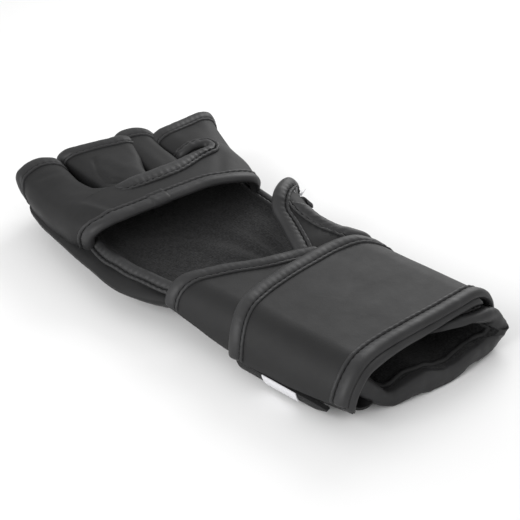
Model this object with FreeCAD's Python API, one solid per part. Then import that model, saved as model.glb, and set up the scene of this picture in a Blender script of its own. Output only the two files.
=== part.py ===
"""Right-hand open-palm grappling glove, lying palm up on the back of the hand.

Frame, in millimetres: +X towards the thumb, +Y towards the fingertips, +Z up, out of the palm.
The origin is under the middle of the glove, on the surface that it rests on.

The back of the hand is a foam pad in a leather tray. A cuff with a flat oval section stands behind
it, turned a little towards the thumb. A bar crosses the palm in front of the open palm. Four finger
stalls stand in front of the bar, each on its own finger pad, and hinge at the knuckles. A thumb panel
rises from the cuff and arches over the thumb hole. Two layers close the cuff: an inner flap hinged on
the little-finger side, and over it a broad strap hinged on the thumb side, which ends in a hook patch
that presses on the loop patch of the cuff.
"""

import FreeCAD
import Part
import math
import os

V = FreeCAD.Vector

# Sheet thicknesses
LEATHER = 1.2
LINING = 0.8
GAP = 0.1                    # air between two layers that are sewn together
SLIT = 0.6                   # air between a moving sheet and its root
BINDING_WIDTH = 8.0          # binding tape, measured across the sheet
BINDING_PROUD = 0.35         # how far the tape stands out of the sheet it binds

# Cuff: a flat oval tube in its own frame, placed at CUFF_PIVOT and turned by CUFF_TURN
CUFF_HALF_WIDTH = 50.5
CUFF_HEIGHT = 30.0
CUFF_PIVOT = V(3, -62, 0)
CUFF_TURN = 11.0             # degrees
CUFF_FOAM = 3.0
CUFF_SIDE_TOP = 24.0         # height that the cuff foam reaches at the sides
CUFF_FRONT = [(-60, 56), (-45, 54), (-20, 44), (0, 36), (24, 25), (40, 20), (48, 14), (60, 4)]
CUFF_REAR = [(-60, -42), (-40, -50), (-16, -60), (8, -66), (28, -68), (60, -65)]

# Inner flap and outer strap
FLAP_HINGE_X = -33.0
FLAP_END_X = 21.5
FLAP_FRONT = [(-60, 56), (-35, 54), (-25, 50), (-7, 40), (12, 33), (22, 28), (60, 12)]
WING_X = 22.5                # the thumb-side wing of the cuff ends here, under the strap
STRAP_OUT = 3.4              # outer face of the strap, outside the cuff tube
STRAP_IN = 1.2               # inner face of the strap, outside the cuff tube
STRAP_HINGE_X = 38.0
STRAP_END_Z = 10.0           # the strap's free end, on the little-finger side
STRAP_ROOT_Z = 8.0           # the strap is sewn on down to here, on the thumb side
STRAP_FRONT = [(-60, 11), (-50, 17), (-31, 22), (-10, 23.5), (10, 23), (25, 22), (39, 17.5),
               (47.5, 11), (60, 1)]
STRAP_REAR = [(-60, -57), (-35, -54), (-5, -56), (25, -59), (60, -61)]
PATCH = 0.5                  # thickness of the hook patch and of the loop patch
PATCH_Y = (-44.0, 8.0)
TAB_OUT = 2.6
TAB_TOP = 9.0

# Pad on the back of the hand, and the finger pads in front of KNUCKLE_Y
PAD_OUTLINE = [(-53, 121), (-62, 112), (-66, 94), (-69.5, 72), (-71.5, 40), (-70, 14), (-62, -3),
               (-48, -17), (-28, -28), (0, -35), (28, -40), (42, -30), (43, 0), (43.5, 30), (46, 62),
               (51, 92), (54, 110), (46, 120), (0, 125)]
PAD_ROUND = 11.0             # rounding of the pad's lower edge
PAD_SHELL = 1.6
PAD_SPLIT_Z = 9.0            # between the hard outer foam and the soft inner foam
PAD_PROFILE = [(-60, 11.0), (40, 20.5), (160, 20.5)]      # Y, height of the foam's upper face
HAND_LINING = 0.8
KNUCKLE_Y = 74.0
FINGER_GAP = 0.8

# Bar across the palm
BAR_LEFT = -68.0
BAR_RIGHT = 42.0
BAR_TOP = 40.0
BAR_RADIUS = 13.0
BAR_REAR = 39.0
BAR_FRONT = 73.0

# Finger stalls: little-finger side, thumb side, top, tip
STALLS = {
    "little": (-66.5, -38.4, 36.0, 125.5),
    "ring": (-37.6, -4.6, 39.0, 125.0),
    "middle": (-3.8, 17.0, 39.0, 122.0),
    "index": (17.8, 52.0, 38.5, 117.0),
}
STALL_FLOOR = 21.8
STALL_RADIUS = 7.5

# Thumb panel: its palm edge and its thumb-hole edge, from the cuff over the crest to the pad
PANEL_PALM_EDGE = [(10, -25.5, 31), (12, -18, 32.5), (15, -8, 35.5), (17, 1, 39), (21, 6, 42),
                   (27, 11, 43.5), (37, 16, 43), (43.5, 18, 38), (46.5, 21, 29), (44.5, 25, 21.0)]
PANEL_HOLE_EDGE = [(48, -34, 31.5), (42, -28.5, 32.5), (37, -21, 34.5), (34.5, -14.5, 36.5),
                   (35, -10, 38), (36.5, -4, 40), (39, 1.5, 40.5), (42.5, 3, 35), (44.5, 5, 27),
                   (43.5, 6, 19.2)]
PANEL_BINDING = 7.0

# White woven label
LABEL_Y = (-22.0, -5.0)
LABEL = 0.4

FAR = 200.0
CENTRE = V(1.9, 0, 0)         # puts the origin under the middle of the glove's box
NODES = {}


def add(name, *shapes):
    """Keeps a finished sub-part under its node name, moved to the glove's origin."""
    whole = shapes[0] if len(shapes) == 1 else Part.makeCompound(list(shapes))
    NODES[name] = whole.translated(CENTRE)


def box(x0, x1, y0, y1, z0, z1):
    return Part.makeBox(x1 - x0, y1 - y0, z1 - z0, V(x0, y0, z0))


def spline(points):
    """An open smooth curve through 3-D points."""
    curve = Part.BSplineCurve()
    curve.interpolate([V(*p) for p in points])
    return curve.toShape()


def shifted(points, dy):
    return [(x, y + dy) for x, y in points]


# ---------------------------------------------------------------- cuff, in its own frame

def oval_prism(inset, y0=-FAR, y1=FAR):
    """The cuff tube's section, inset all round, drawn out along Y."""
    half = CUFF_HALF_WIDTH - CUFF_HEIGHT / 2
    low, high, mid = inset, CUFF_HEIGHT - inset, CUFF_HEIGHT / 2
    side = CUFF_HALF_WIDTH - inset
    a, b = V(-half, y0, low), V(half, y0, low)
    c, d = V(half, y0, high), V(-half, y0, high)
    edges = [
        Part.LineSegment(a, b).toShape(),
        Part.Arc(b, V(side, y0, mid), c).toShape(),
        Part.LineSegment(c, d).toShape(),
        Part.Arc(d, V(-side, y0, mid), a).toShape(),
    ]
    return Part.Face(Part.Wire(edges)).extrude(V(0, y1 - y0, 0))


def oval_ring(outer, inner):
    return oval_prism(outer).cut(oval_prism(inner, -FAR - 1, FAR + 1))


def plan_prism(front, rear):
    """Everything between a rear and a front edge line, seen from above."""
    f = spline([(x, y, -20) for x, y in front])
    r = spline([(x, y, -20) for x, y in rear])
    f0, f1 = f.Vertexes[0].Point, f.Vertexes[-1].Point
    r0, r1 = r.Vertexes[0].Point, r.Vertexes[-1].Point
    wire = Part.Wire([f, Part.makeLine(f1, r1), r, Part.makeLine(r0, f0)])
    return Part.Face(wire).extrude(V(0, 0, 100))


def placed(shape):
    """From the cuff's frame to the glove's frame."""
    shape = shape.copy()
    shape.rotate(V(0, 0, 0), V(0, 0, 1), CUFF_TURN)
    shape.translate(CUFF_PIVOT)
    return shape


def make_cuff():
    body = plan_prism(CUFF_FRONT, shifted(CUFF_REAR, BINDING_WIDTH + GAP))
    rim = plan_prism(shifted(CUFF_REAR, BINDING_WIDTH), CUFF_REAR)
    flap_window = box(FLAP_HINGE_X, WING_X, -FAR, FAR, CUFF_HEIGHT / 2, 60)
    below_top = box(-90, 90, -FAR, FAR, -10, CUFF_SIDE_TOP)
    foam_in = LEATHER + GAP + CUFF_FOAM
    lining_out = foam_in + GAP
    lining_in = lining_out + LINING
    add("cuff_shell", placed(oval_ring(0, LEATHER).common(body).cut(flap_window)))
    add("cuff_foam", placed(oval_ring(LEATHER + GAP, foam_in).common(body).common(below_top)))
    add("cuff_lining", placed(oval_ring(lining_out, lining_in).common(body).common(below_top)))
    add("cuff_rim_binding", placed(oval_ring(0, lining_in).common(rim).common(below_top)))


def make_flap():
    """The inner flap: a flat sheet in the cuff's flat top, bound along its front edge."""
    x0, x1, top = FLAP_HINGE_X + SLIT, FLAP_END_X, CUFF_HEIGHT
    lining_top = top - LEATHER - GAP
    sheet = plan_prism(shifted(FLAP_FRONT, -BINDING_WIDTH - GAP), shifted(STRAP_REAR, 4))
    tape = plan_prism(FLAP_FRONT, shifted(FLAP_FRONT, -BINDING_WIDTH))
    leather = box(x0, x1, -FAR, FAR, top - LEATHER, top)
    lining = box(x0, x1, -FAR, FAR, lining_top - LINING, lining_top)
    bound = box(x0, x1, -FAR, FAR, lining_top - LINING - BINDING_PROUD, top + BINDING_PROUD)
    add("wrist_flap", placed(leather.common(sheet)))
    add("wrist_flap_lining", placed(lining.common(sheet)))
    add("wrist_flap_binding", placed(bound.common(tape)))


def make_strap():
    """The outer strap, and its root that is sewn to the thumb side of the cuff."""
    moving = box(-90, STRAP_HINGE_X, -FAR, FAR, STRAP_END_Z, 60)
    fixed = box(STRAP_HINGE_X + SLIT, 90, -FAR, FAR, STRAP_ROOT_Z, 60)
    panel = plan_prism(shifted(STRAP_FRONT, -BINDING_WIDTH - GAP),
                       shifted(STRAP_REAR, BINDING_WIDTH + GAP))
    front = plan_prism(STRAP_FRONT, shifted(STRAP_FRONT, -BINDING_WIDTH))
    rear = plan_prism(shifted(STRAP_REAR, BINDING_WIDTH), STRAP_REAR)
    leather = oval_ring(-STRAP_OUT, LEATHER - STRAP_OUT)
    lining = oval_ring(LEATHER + GAP - STRAP_OUT, -STRAP_IN)
    bound = oval_ring(-STRAP_OUT - BINDING_PROUD, -STRAP_IN)
    add("wrist_strap", placed(leather.common(panel).common(moving)))
    add("wrist_strap_lining", placed(lining.common(panel).common(moving)))
    add("strap_front_binding", placed(bound.common(front).common(moving)))
    add("strap_rear_binding", placed(bound.common(rear).common(moving)))
    root = oval_ring(-STRAP_OUT, 0)
    root_bound = oval_ring(-STRAP_OUT - BINDING_PROUD, 0)
    add("strap_root", placed(root.common(panel).common(fixed)))
    add("strap_root_bindings", placed(root_bound.common(front).common(fixed)),
        placed(root_bound.common(rear).common(fixed)))


def make_closure():
    """Hook patch in the strap's free end, loop patch and closure tab on the cuff, and the label."""
    y0, y1 = PATCH_Y
    side = box(-90, 0, y0, y1, STRAP_END_Z + 1, CUFF_HEIGHT - 6)
    hook_out = GAP - STRAP_IN
    tab_zone = box(-90, -40, y0 - 3, y1 + 3, 0.6, TAB_TOP)
    label_zone = box(-90, -40, LABEL_Y[0], LABEL_Y[1], 2.6, TAB_TOP + 0.4)
    label_in = -TAB_OUT - GAP
    add("hook_patch", placed(oval_ring(hook_out, hook_out + PATCH).common(side)))
    add("loop_patch", placed(oval_ring(-PATCH, 0).common(side)))
    add("closure_tab", placed(oval_ring(-TAB_OUT, 0).common(tab_zone)))
    add("woven_label", placed(oval_ring(label_in - LABEL, label_in).common(label_zone)))


# ---------------------------------------------------------------- pad on the back of the hand

def inset_outline(points, distance):
    """Moves each point of a closed outline, listed clockwise from above, inwards."""
    moved = []
    for i, (x, y) in enumerate(points):
        x0, y0 = points[i - 1]
        x1, y1 = points[(i + 1) % len(points)]
        length = math.hypot(x1 - x0, y1 - y0)
        moved.append((x - (y1 - y0) / length * distance, y + (x1 - x0) / length * distance))
    return moved


def outline_prism(inset, z0, z1):
    curve = Part.BSplineCurve()
    curve.interpolate([V(x, y, z0) for x, y in inset_outline(PAD_OUTLINE, inset)], PeriodicFlag=True)
    return Part.Face(Part.Wire([curve.toShape()])).extrude(V(0, 0, z1 - z0))


def cushion(inset):
    """The pad's outer form, inset all round, open-ended upwards."""
    solid = outline_prism(inset, inset, 60)
    lower = [e for e in solid.Edges if e.BoundBox.ZMax < inset + 0.01]
    return solid.makeFillet(PAD_ROUND - inset, lower)


def profile_band(lift0, lift1):
    """Everything between two heights over the foam's upper face, over the whole plan."""
    lower = [V(-FAR, y, z + lift0) for y, z in PAD_PROFILE]
    upper = [V(-FAR, y, z + lift1) for y, z in reversed(PAD_PROFILE)]
    wire = Part.makePolygon(lower + upper + lower[:1])
    return Part.Face(wire).extrude(V(2 * FAR, 0, 0))


def finger_strips():
    """The plan strip of each finger, from the knuckle line forwards."""
    fingers = list(STALLS)
    strips = {}
    for i, finger in enumerate(fingers):
        x0 = -FAR if i == 0 else STALLS[finger][0]
        x1 = FAR if i == len(fingers) - 1 else STALLS[finger][1]
        strips[finger] = box(x0, x1, KNUCKLE_Y + FINGER_GAP / 2, FAR, -10, 60)
    return strips


def make_pad():
    cuff = placed(oval_prism(-GAP).common(plan_prism(CUFF_FRONT, CUFF_REAR)))
    below = profile_band(-60, 0)
    shell = cushion(0).cut(cushion(PAD_SHELL)).common(below).cut(cuff)
    foam = cushion(PAD_SHELL + GAP).common(profile_band(-60, -0.05)).cut(cuff)
    hand = box(-FAR, FAR, -FAR, KNUCKLE_Y - FINGER_GAP / 2, -10, 60)
    hand_foam = foam.common(hand)
    add("backhand_shell", shell.common(hand))
    add("outer_foam", hand_foam.common(box(-FAR, FAR, -FAR, FAR, -5, PAD_SPLIT_Z)))
    add("inner_foam", hand_foam.common(box(-FAR, FAR, -FAR, FAR, PAD_SPLIT_Z + GAP, 60)))
    lining = outline_prism(2.0, 0, 60).common(profile_band(GAP, GAP + HAND_LINING)).cut(cuff)
    add("backhand_lining", lining.common(hand))
    for finger, strip in finger_strips().items():
        add(finger + "_pad_shell", shell.common(strip))
        add(finger + "_pad_foam", foam.common(strip))
    rim = outline_prism(1.0, 0, 60).cut(outline_prism(6.0, -1, 61))
    rim = rim.common(profile_band(HAND_LINING + 2 * GAP, HAND_LINING + 4)).cut(cuff)
    add("little_side_binding", rim.common(box(-90, 0, -6, BAR_REAR - 0.2, 0, 60)))
    add("thumb_side_binding", rim.common(box(0, 90, 27, BAR_REAR - 0.2, 0, 60)))


# ---------------------------------------------------------------- bar across the palm

def rounded_prism(x0, x1, z0, z1, radius, y0, y1):
    """A box along Y with its four long edges rounded."""
    solid = box(x0, x1, y0, y1, z0, z1)
    long_edges = [e for e in solid.Edges if abs(e.tangentAt(e.FirstParameter).y) > 0.99]
    return solid.makeFillet(radius, long_edges)


def arch(outset, thickness, y0, y1):
    """A rounded band over the hand, standing on the lining."""
    inwards = outset - thickness
    outer = rounded_prism(BAR_LEFT - outset, BAR_RIGHT + outset, -20, BAR_TOP + outset,
                          BAR_RADIUS + outset, y0, y1)
    inner = rounded_prism(BAR_LEFT - inwards, BAR_RIGHT + inwards, -30, BAR_TOP + inwards,
                          BAR_RADIUS + inwards, y0 - 1, y1 + 1)
    return outer.cut(inner).common(profile_band(HAND_LINING + 2 * GAP, 80))


def make_bar():
    rear_seam = BAR_REAR + BINDING_WIDTH
    front_seam = BAR_FRONT - BINDING_WIDTH
    bound = LEATHER + GAP + LINING + 2 * BINDING_PROUD
    add("palm_bar", arch(0, LEATHER, rear_seam + GAP, front_seam - GAP))
    add("palm_bar_lining", arch(-LEATHER - GAP, LINING, rear_seam + GAP, front_seam - GAP))
    add("palm_bar_binding", arch(BINDING_PROUD, bound, BAR_REAR, rear_seam))
    add("slit_binding", arch(BINDING_PROUD, bound, front_seam, BAR_FRONT))


# ---------------------------------------------------------------- finger stalls

def stall_tube(finger, inset, thickness, y0, y1):
    x0, x1, top, _ = STALLS[finger]
    deep = inset + thickness
    outer = rounded_prism(x0 + inset, x1 - inset, STALL_FLOOR + inset, top - inset,
                          min(STALL_RADIUS, (top - STALL_FLOOR) / 2 - 0.1) - inset, y0, y1)
    inner = rounded_prism(x0 + deep, x1 - deep, STALL_FLOOR + deep, top - deep,
                          min(STALL_RADIUS, (top - STALL_FLOOR) / 2 - 0.1) - deep, y0 - 1, y1 + 1)
    return outer.cut(inner)


def make_stalls():
    rear = KNUCKLE_Y + FINGER_GAP / 2
    for finger, (_, _, _, tip) in STALLS.items():
        seam = tip - BINDING_WIDTH
        add(finger + "_stall", stall_tube(finger, 0, LEATHER, rear, seam - GAP))
        add(finger + "_stall_lining", stall_tube(finger, LEATHER + GAP, LINING, rear, seam - GAP))
        add(finger + "_stall_binding", stall_tube(finger, 0, LEATHER + GAP + LINING, seam, tip))


# ---------------------------------------------------------------- thumb panel

def ribbon(edge0, edge1, thickness, depth=0.0):
    """A curved sheet between two rows of 3-D points, thickened away from its outer side."""
    sections = []
    for i, (a, b) in enumerate(zip(edge0, edge1)):
        before = (edge0[max(i - 1, 0)] + edge1[max(i - 1, 0)]) * 0.5
        after = (edge0[min(i + 1, len(edge0) - 1)] + edge1[min(i + 1, len(edge1) - 1)]) * 0.5
        inwards = (b - a).cross(after - before).normalize() * -1
        top, under = inwards * depth, inwards * (depth + thickness)
        sections.append(Part.makePolygon([a + top, b + top, b + under, a + under, a + top]))
    return Part.makeLoft(sections, True, True)


def make_thumb_panel():
    palm = [V(*p) for p in PANEL_PALM_EDGE]
    hole = [V(*p) for p in PANEL_HOLE_EDGE]

    def line(edge, distance):
        """The points this far from one edge, measured towards the other."""
        ends = zip(palm, hole) if edge == "palm" else zip(hole, palm)
        return [start + (end - start).normalize() * distance for start, end in ends]

    bound = LEATHER + GAP + LINING
    sheet = line("palm", PANEL_BINDING + GAP), line("hole", PANEL_BINDING + GAP)
    add("thumb_panel", ribbon(*sheet, LEATHER))
    add("thumb_panel_lining", ribbon(*sheet, LINING, LEATHER + GAP))
    add("thumb_panel_palm_binding", ribbon(palm, line("palm", PANEL_BINDING), bound))
    add("thumb_hole_binding", ribbon(line("hole", PANEL_BINDING), hole, bound))


def main():
    make_cuff()
    make_flap()
    make_strap()
    make_closure()
    make_pad()
    make_bar()
    make_stalls()
    make_thumb_panel()
    os.makedirs("parts", exist_ok=True)
    for name, shape in NODES.items():
        if not all(solid.isValid() and solid.Volume > 0 for solid in shape.Solids):
            print("bad solid in", name)
        print(f"{name}: {len(shape.Solids)} solid(s), {shape.Volume / 1000:.2f} cm3")
        shape.exportStep(f"parts/{name}.step")
    whole = Part.makeCompound(list(NODES.values())).BoundBox
    print("X", whole.XMin, whole.XMax, "Y", whole.YMin, whole.YMax, "Z", whole.ZMin, whole.ZMax)


main()
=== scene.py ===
"""The looks of the open-palm grappling glove: leather, lining, folded bindings, stitches and pads.

Shapes are worked out in millimetres in the row frame (+X thumb, +Y fingertips, +Z out of the palm)
and turned into metres when a mesh is made.
"""

import math
import random

import bmesh
import bpy
import numpy as np
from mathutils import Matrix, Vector, noise


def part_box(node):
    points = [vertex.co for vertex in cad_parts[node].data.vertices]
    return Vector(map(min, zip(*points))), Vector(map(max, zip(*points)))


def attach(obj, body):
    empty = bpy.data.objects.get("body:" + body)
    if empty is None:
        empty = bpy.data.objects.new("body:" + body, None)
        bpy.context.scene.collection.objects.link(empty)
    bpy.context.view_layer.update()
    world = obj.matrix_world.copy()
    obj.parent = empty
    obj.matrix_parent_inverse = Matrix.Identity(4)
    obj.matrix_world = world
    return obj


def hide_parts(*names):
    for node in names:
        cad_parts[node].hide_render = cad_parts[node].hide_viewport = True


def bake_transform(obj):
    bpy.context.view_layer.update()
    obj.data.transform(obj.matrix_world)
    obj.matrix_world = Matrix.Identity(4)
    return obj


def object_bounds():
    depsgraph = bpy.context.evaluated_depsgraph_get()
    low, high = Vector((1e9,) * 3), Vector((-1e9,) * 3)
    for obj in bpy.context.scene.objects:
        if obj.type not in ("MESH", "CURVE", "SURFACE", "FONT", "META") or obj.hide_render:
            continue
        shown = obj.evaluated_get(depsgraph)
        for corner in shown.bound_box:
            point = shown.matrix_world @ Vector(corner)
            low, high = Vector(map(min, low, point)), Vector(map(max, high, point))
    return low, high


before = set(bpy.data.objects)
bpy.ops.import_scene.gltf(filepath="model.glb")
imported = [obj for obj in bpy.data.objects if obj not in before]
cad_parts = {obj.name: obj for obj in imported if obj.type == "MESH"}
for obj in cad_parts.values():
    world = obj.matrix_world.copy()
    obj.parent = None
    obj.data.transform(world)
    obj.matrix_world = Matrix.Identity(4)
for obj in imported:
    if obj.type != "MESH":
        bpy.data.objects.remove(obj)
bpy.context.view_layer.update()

random.seed(7)

MM = 0.001
ORIGIN = np.array([1.9, 0.0, 0.0])     # from where the shapes below are drawn to the row's origin
ROOT = "hand_and_cuff"
FINGERS = ("little", "ring", "middle", "index")

LEATHER = 1.2                # thickness
LINING = 0.8                 # thickness
LINING_GAP = 0.15            # between the leather and its lining
LEAST_HEIGHT = 0.05          # nothing sinks into what the glove lies on
SHARP_ANGLE = math.radians(50)


def node_box(node):
    """A CAD node's lowest and highest corners, in millimetres."""
    low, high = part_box(node)
    return np.array(low) / MM, np.array(high) / MM


# ---------------------------------------------------------------- curves and surfaces

def tangents(points, steps):
    """Slopes of a smooth curve at each of its points, per unit of length."""
    chords = np.diff(points, axis=0) / steps[:, None]
    middle = chords[:-1] * steps[1:, None] + chords[1:] * steps[:-1, None]
    middle = middle / (steps[:-1] + steps[1:])[:, None]
    return np.vstack([chords[:1], middle, chords[-1:]])


def hermite(points, steps, at):
    """The smooth curve through points, whose parameter grows by steps, at the values in at."""
    knots = np.concatenate([[0.0], np.cumsum(steps)])
    slopes = tangents(points, steps)
    i = np.clip(np.searchsorted(knots, at, side="right") - 1, 0, len(steps) - 1)
    h = steps[i][:, None]
    t = ((at - knots[i]) / steps[i])[:, None]
    return (points[i] * (2 * t**3 - 3 * t**2 + 1) + slopes[i] * h * (t**3 - 2 * t**2 + t)
            + points[i + 1] * (3 * t**2 - 2 * t**3) + slopes[i + 1] * h * (t**3 - t**2))


def lengths(points):
    """The distance from each point of a line to the next."""
    return np.linalg.norm(np.diff(points, axis=0), axis=1)


def run_along(points):
    """The distance along a line at each of its points."""
    return np.concatenate([[0.0], np.cumsum(lengths(points))])


def unit(vectors):
    """The same directions, with a length of 1."""
    return vectors / np.maximum(np.linalg.norm(vectors, axis=-1, keepdims=True), 1e-9)


def ramp(values, start, end):
    """0 up to start, 1 from end on, and even between them; end may be the lower one."""
    return np.clip((np.asarray(values) - start) / (end - start), 0, 1)


def respaced(points, count):
    """A polyline with count points, evenly spaced by length."""
    run = run_along(points)
    at = np.linspace(0, run[-1], count)
    return np.stack([np.interp(at, run, points[:, k]) for k in range(points.shape[1])], 1)


FINE = 24                    # points worked out on a curve for each one given


def smooth_line(points, count):
    """count points, evenly spaced, along a smooth curve through the given ones."""
    points = np.array(points, float)
    steps = np.maximum(lengths(points), 1e-6)
    fine = hermite(points, steps, np.linspace(0, steps.sum(), FINE * len(points)))
    return respaced(fine, count)


def smooth_loop(points, count):
    """The same for a closed curve."""
    points = np.array(points, float)
    wrapped = np.vstack([points[-3:], points, points[:4]])
    steps = np.maximum(lengths(wrapped), 1e-6)
    start, end = steps[:3].sum(), steps[:3 + len(points)].sum()
    fine = hermite(wrapped, steps, np.linspace(start, end, FINE * len(points)))
    return respaced(fine, count + 1)[:-1]


def loft(rows, count):
    """A grid of points through rows of equal length, smooth from row to row."""
    rows = np.array(rows, float)
    steps = np.maximum(np.linalg.norm(np.diff(rows, axis=0), axis=2).mean(1), 1e-6)
    flat = rows.reshape(len(rows), -1)
    return hermite(flat, steps, np.linspace(0, steps.sum(), count)).reshape(count, -1, 3)


def normals_of(grid, inside):
    """Unit normals of a grid of points, pointing away from the point inside."""
    across = unit(np.cross(np.gradient(grid, axis=1), np.gradient(grid, axis=0)))
    sign = np.sign(((grid - np.array(inside, float)) * across).sum())
    return across * (sign if sign else 1.0)


def bumps(points, scale, seed=0.0):
    """Smooth noise from -1 to 1 at each point; scale is the size of its features."""
    flat = points.reshape(-1, 3) / scale + seed
    values = [noise.noise(Vector(p)) for p in flat]
    return np.array(values).reshape(points.shape[:-1])


def ridge(distance, width):
    """A rounded ridge: 1 on its line, 0 away from it."""
    return np.exp(-(distance / width) ** 2)


# ---------------------------------------------------------------- meshes

def grid_faces(rows, cols, closed_cols=False, start=0):
    """Four-sided faces over a grid of points, from point number start on."""
    faces = []
    for i in range(rows - 1):
        for j in range(cols if closed_cols else cols - 1):
            a, b = i * cols + j, i * cols + (j + 1) % cols
            c, d = (i + 1) * cols + (j + 1) % cols, (i + 1) * cols + j
            faces.append((start + a, start + b, start + c, start + d))
    return faces


def shade_smooth(mesh):
    mesh.polygons.foreach_set("use_smooth", [True] * len(mesh.polygons))
    mesh.set_sharp_from_angle(angle=SHARP_ANGLE)


def add_object(name, data):
    obj = bpy.data.objects.new(name, data)
    bpy.context.scene.collection.objects.link(obj)
    return obj


def make_object(name, points, faces, material):
    """A smooth-shaded mesh object from points in millimetres, with its normals facing out."""
    mesh = bpy.data.meshes.new(name)
    points = np.array(points) + ORIGIN
    points[:, 2] = np.maximum(points[:, 2], LEAST_HEIGHT)
    mesh.from_pydata((points * MM).tolist(), [], faces)
    mesh.materials.append(material)
    mesh.update()
    obj = add_object(name, mesh)
    bpy.context.view_layer.objects.active = obj
    bpy.ops.object.select_all(action="DESELECT")
    obj.select_set(True)
    bpy.ops.object.mode_set(mode="EDIT")
    bpy.ops.mesh.select_all(action="SELECT")
    bpy.ops.mesh.remove_doubles(threshold=1e-6)
    bpy.ops.mesh.normals_make_consistent(inside=False)
    bpy.ops.object.mode_set(mode="OBJECT")
    shade_smooth(mesh)
    return obj


def slab(name, grid, normals, depth, thickness, material):
    """A sheet that follows a grid, from depth below it down to depth plus thickness."""
    rows, cols = grid.shape[:2]
    top = (grid - normals * depth).reshape(-1, 3)
    under = (grid - normals * (depth + thickness)).reshape(-1, 3)
    count = rows * cols
    faces = grid_faces(rows, cols)
    faces += [face[::-1] for face in grid_faces(rows, cols, start=count)]
    rim = list(range(cols)) + [i * cols + cols - 1 for i in range(1, rows)]
    rim += [(rows - 1) * cols + j for j in range(cols - 2, -1, -1)]
    rim += [i * cols for i in range(rows - 2, 0, -1)]
    for a, b in zip(rim, rim[1:] + rim[:1]):
        faces.append((a, a + count, b + count, b))
    return make_object(name, np.vstack([top, under]), faces, material)


def place(obj, body, nodes=(), bend=None):
    """Fixes a piece to its body, or, when a bend is given, only bakes its placement into its mesh; and
    hides the CAD parts it stands for.
    """
    if nodes:
        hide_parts(*nodes)
    if bend:
        other, start, end = bend
        start, end = [tuple((np.array(point) + ORIGIN) * MM) for point in (start, end)]
        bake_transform(obj)
    else:
        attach(obj, body)
    return obj


# ---------------------------------------------------------------- bindings and stitches

# The folded tape's section. A point is this far in from the edge: share of the width, plus
# millimetres; and this high over the sheet's outer side: millimetres, plus share of the thickness.
TAPE_SECTION = [
    (1, 0, -0.3, 0), (1, 0, 0.5, 0), (1, -0.35, 0.95, 0), (1, -1.0, 1.05, 0), (1, -1.6, 0.75, 0),
    (1, -2.05, -0.05, 0), (1, -2.5, 0.65, 0), (0.62, 0, 1.2, 0), (0.5, 0, 1.55, 0), (0.32, 0, 1.75, 0),
    (0.15, 0, 1.55, 0), (0, 0.25, 0.85, 0), (0, -0.45, -0.2, 0), (0, -0.6, 0, -0.5),
    (0, -0.25, 0, -0.85), (0, 0.9, -0.55, -1), (0.25, 0, -0.9, -1), (0.5, 0, -0.8, -1),
    (1, -2.2, -0.5, -1), (1, -0.7, -0.3, -1), (1, -0.5, 0.3, -1)]
SEAM = 2.05                  # from the tape's inner edge to its stitches
SEAM_REACH = 2.4             # how far the pull of the stitches reaches
TAPE_STATION = 1.1           # spacing of the mesh stations along a tape
TAPE_LINES = 12              # points on each line that runs in from a free edge
TAPE_DEPTH = 14.0            # how far in those lines run
STITCH_PITCH = 3.7
STITCH_LENGTH = 2.5
THREAD_SIDES = 6
THREAD_SECTIONS = 6


def edge_columns(grid, normals, edge):
    """Lines that run in from a grid's first or last row: their points and normals, one row for
    each station along the edge."""
    lines, normal = grid.transpose(1, 0, 2), normals.transpose(1, 0, 2)
    if edge == "last_row":
        lines, normal = lines[:, ::-1], normal[:, ::-1]
    run = run_along(lines[:, 0])
    count = max(int(run[-1] / TAPE_STATION), 3)
    at = np.interp(np.linspace(0, run[-1], count), run, np.arange(len(run)))
    low = np.minimum(at.astype(int), len(run) - 2)
    share = (at - low)[:, None, None]
    lines = lines[low] * (1 - share) + lines[low + 1] * share
    normal = normal[low] * (1 - share) + normal[low + 1] * share
    return lines, normal


def path_columns(points, inwards, normals):
    """The same for a free edge: straight lines that run in from it."""
    count = max(int(lengths(points).sum() / TAPE_STATION), 3)
    data = respaced(np.hstack([points, inwards, normals]), count)
    points, inwards, normals = data[:, :3], unit(data[:, 3:6]), unit(data[:, 6:])
    reach = np.linspace(0, TAPE_DEPTH, TAPE_LINES)[None, :, None]
    lines = points[:, None] + inwards[:, None] * reach
    return lines, np.repeat(normals[:, None], TAPE_LINES, axis=1)


def along_columns(columns, distance):
    """The point and the normal at a distance in from the edge, for each station."""
    lines, normals = columns
    distances = np.broadcast_to(distance, (len(lines),))
    found, facing = [], []
    for line, normal, inwards in zip(lines, normals, distances):
        run = run_along(line)
        if inwards < 0:
            found.append(line[0] + (line[0] - line[1]) / max(run[1], 1e-6) * -inwards)
            facing.append(normal[0])
        else:
            found.append([np.interp(inwards, run, line[:, k]) for k in range(3)])
            facing.append([np.interp(inwards, run, normal[:, k]) for k in range(3)])
    return np.array(found), unit(np.array(facing))


def stretched(values, count):
    """Values given along an edge, or one value for all of it, at count stations."""
    values = np.atleast_1d(np.array(values, float))
    return np.interp(np.linspace(0, 1, count), np.linspace(0, 1, len(values)), values)


def tube_faces(sections, sides, start=0):
    """Faces of a closed bar: its side, and a cap at each end."""
    last = start + (sections - 1) * sides
    caps = [tuple(range(start, start + sides)), tuple(reversed(range(last, last + sides)))]
    return grid_faces(sections, sides, closed_cols=True, start=start) + caps


def ring_points(path, side, up, angle):
    """Points on a circle round each point of a path; side and up are its two radii."""
    circles = side[:, None] * np.cos(angle)[:, None] + up[:, None] * np.sin(angle)[:, None]
    return (path[:, None] + circles).reshape(-1, 3)


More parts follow.
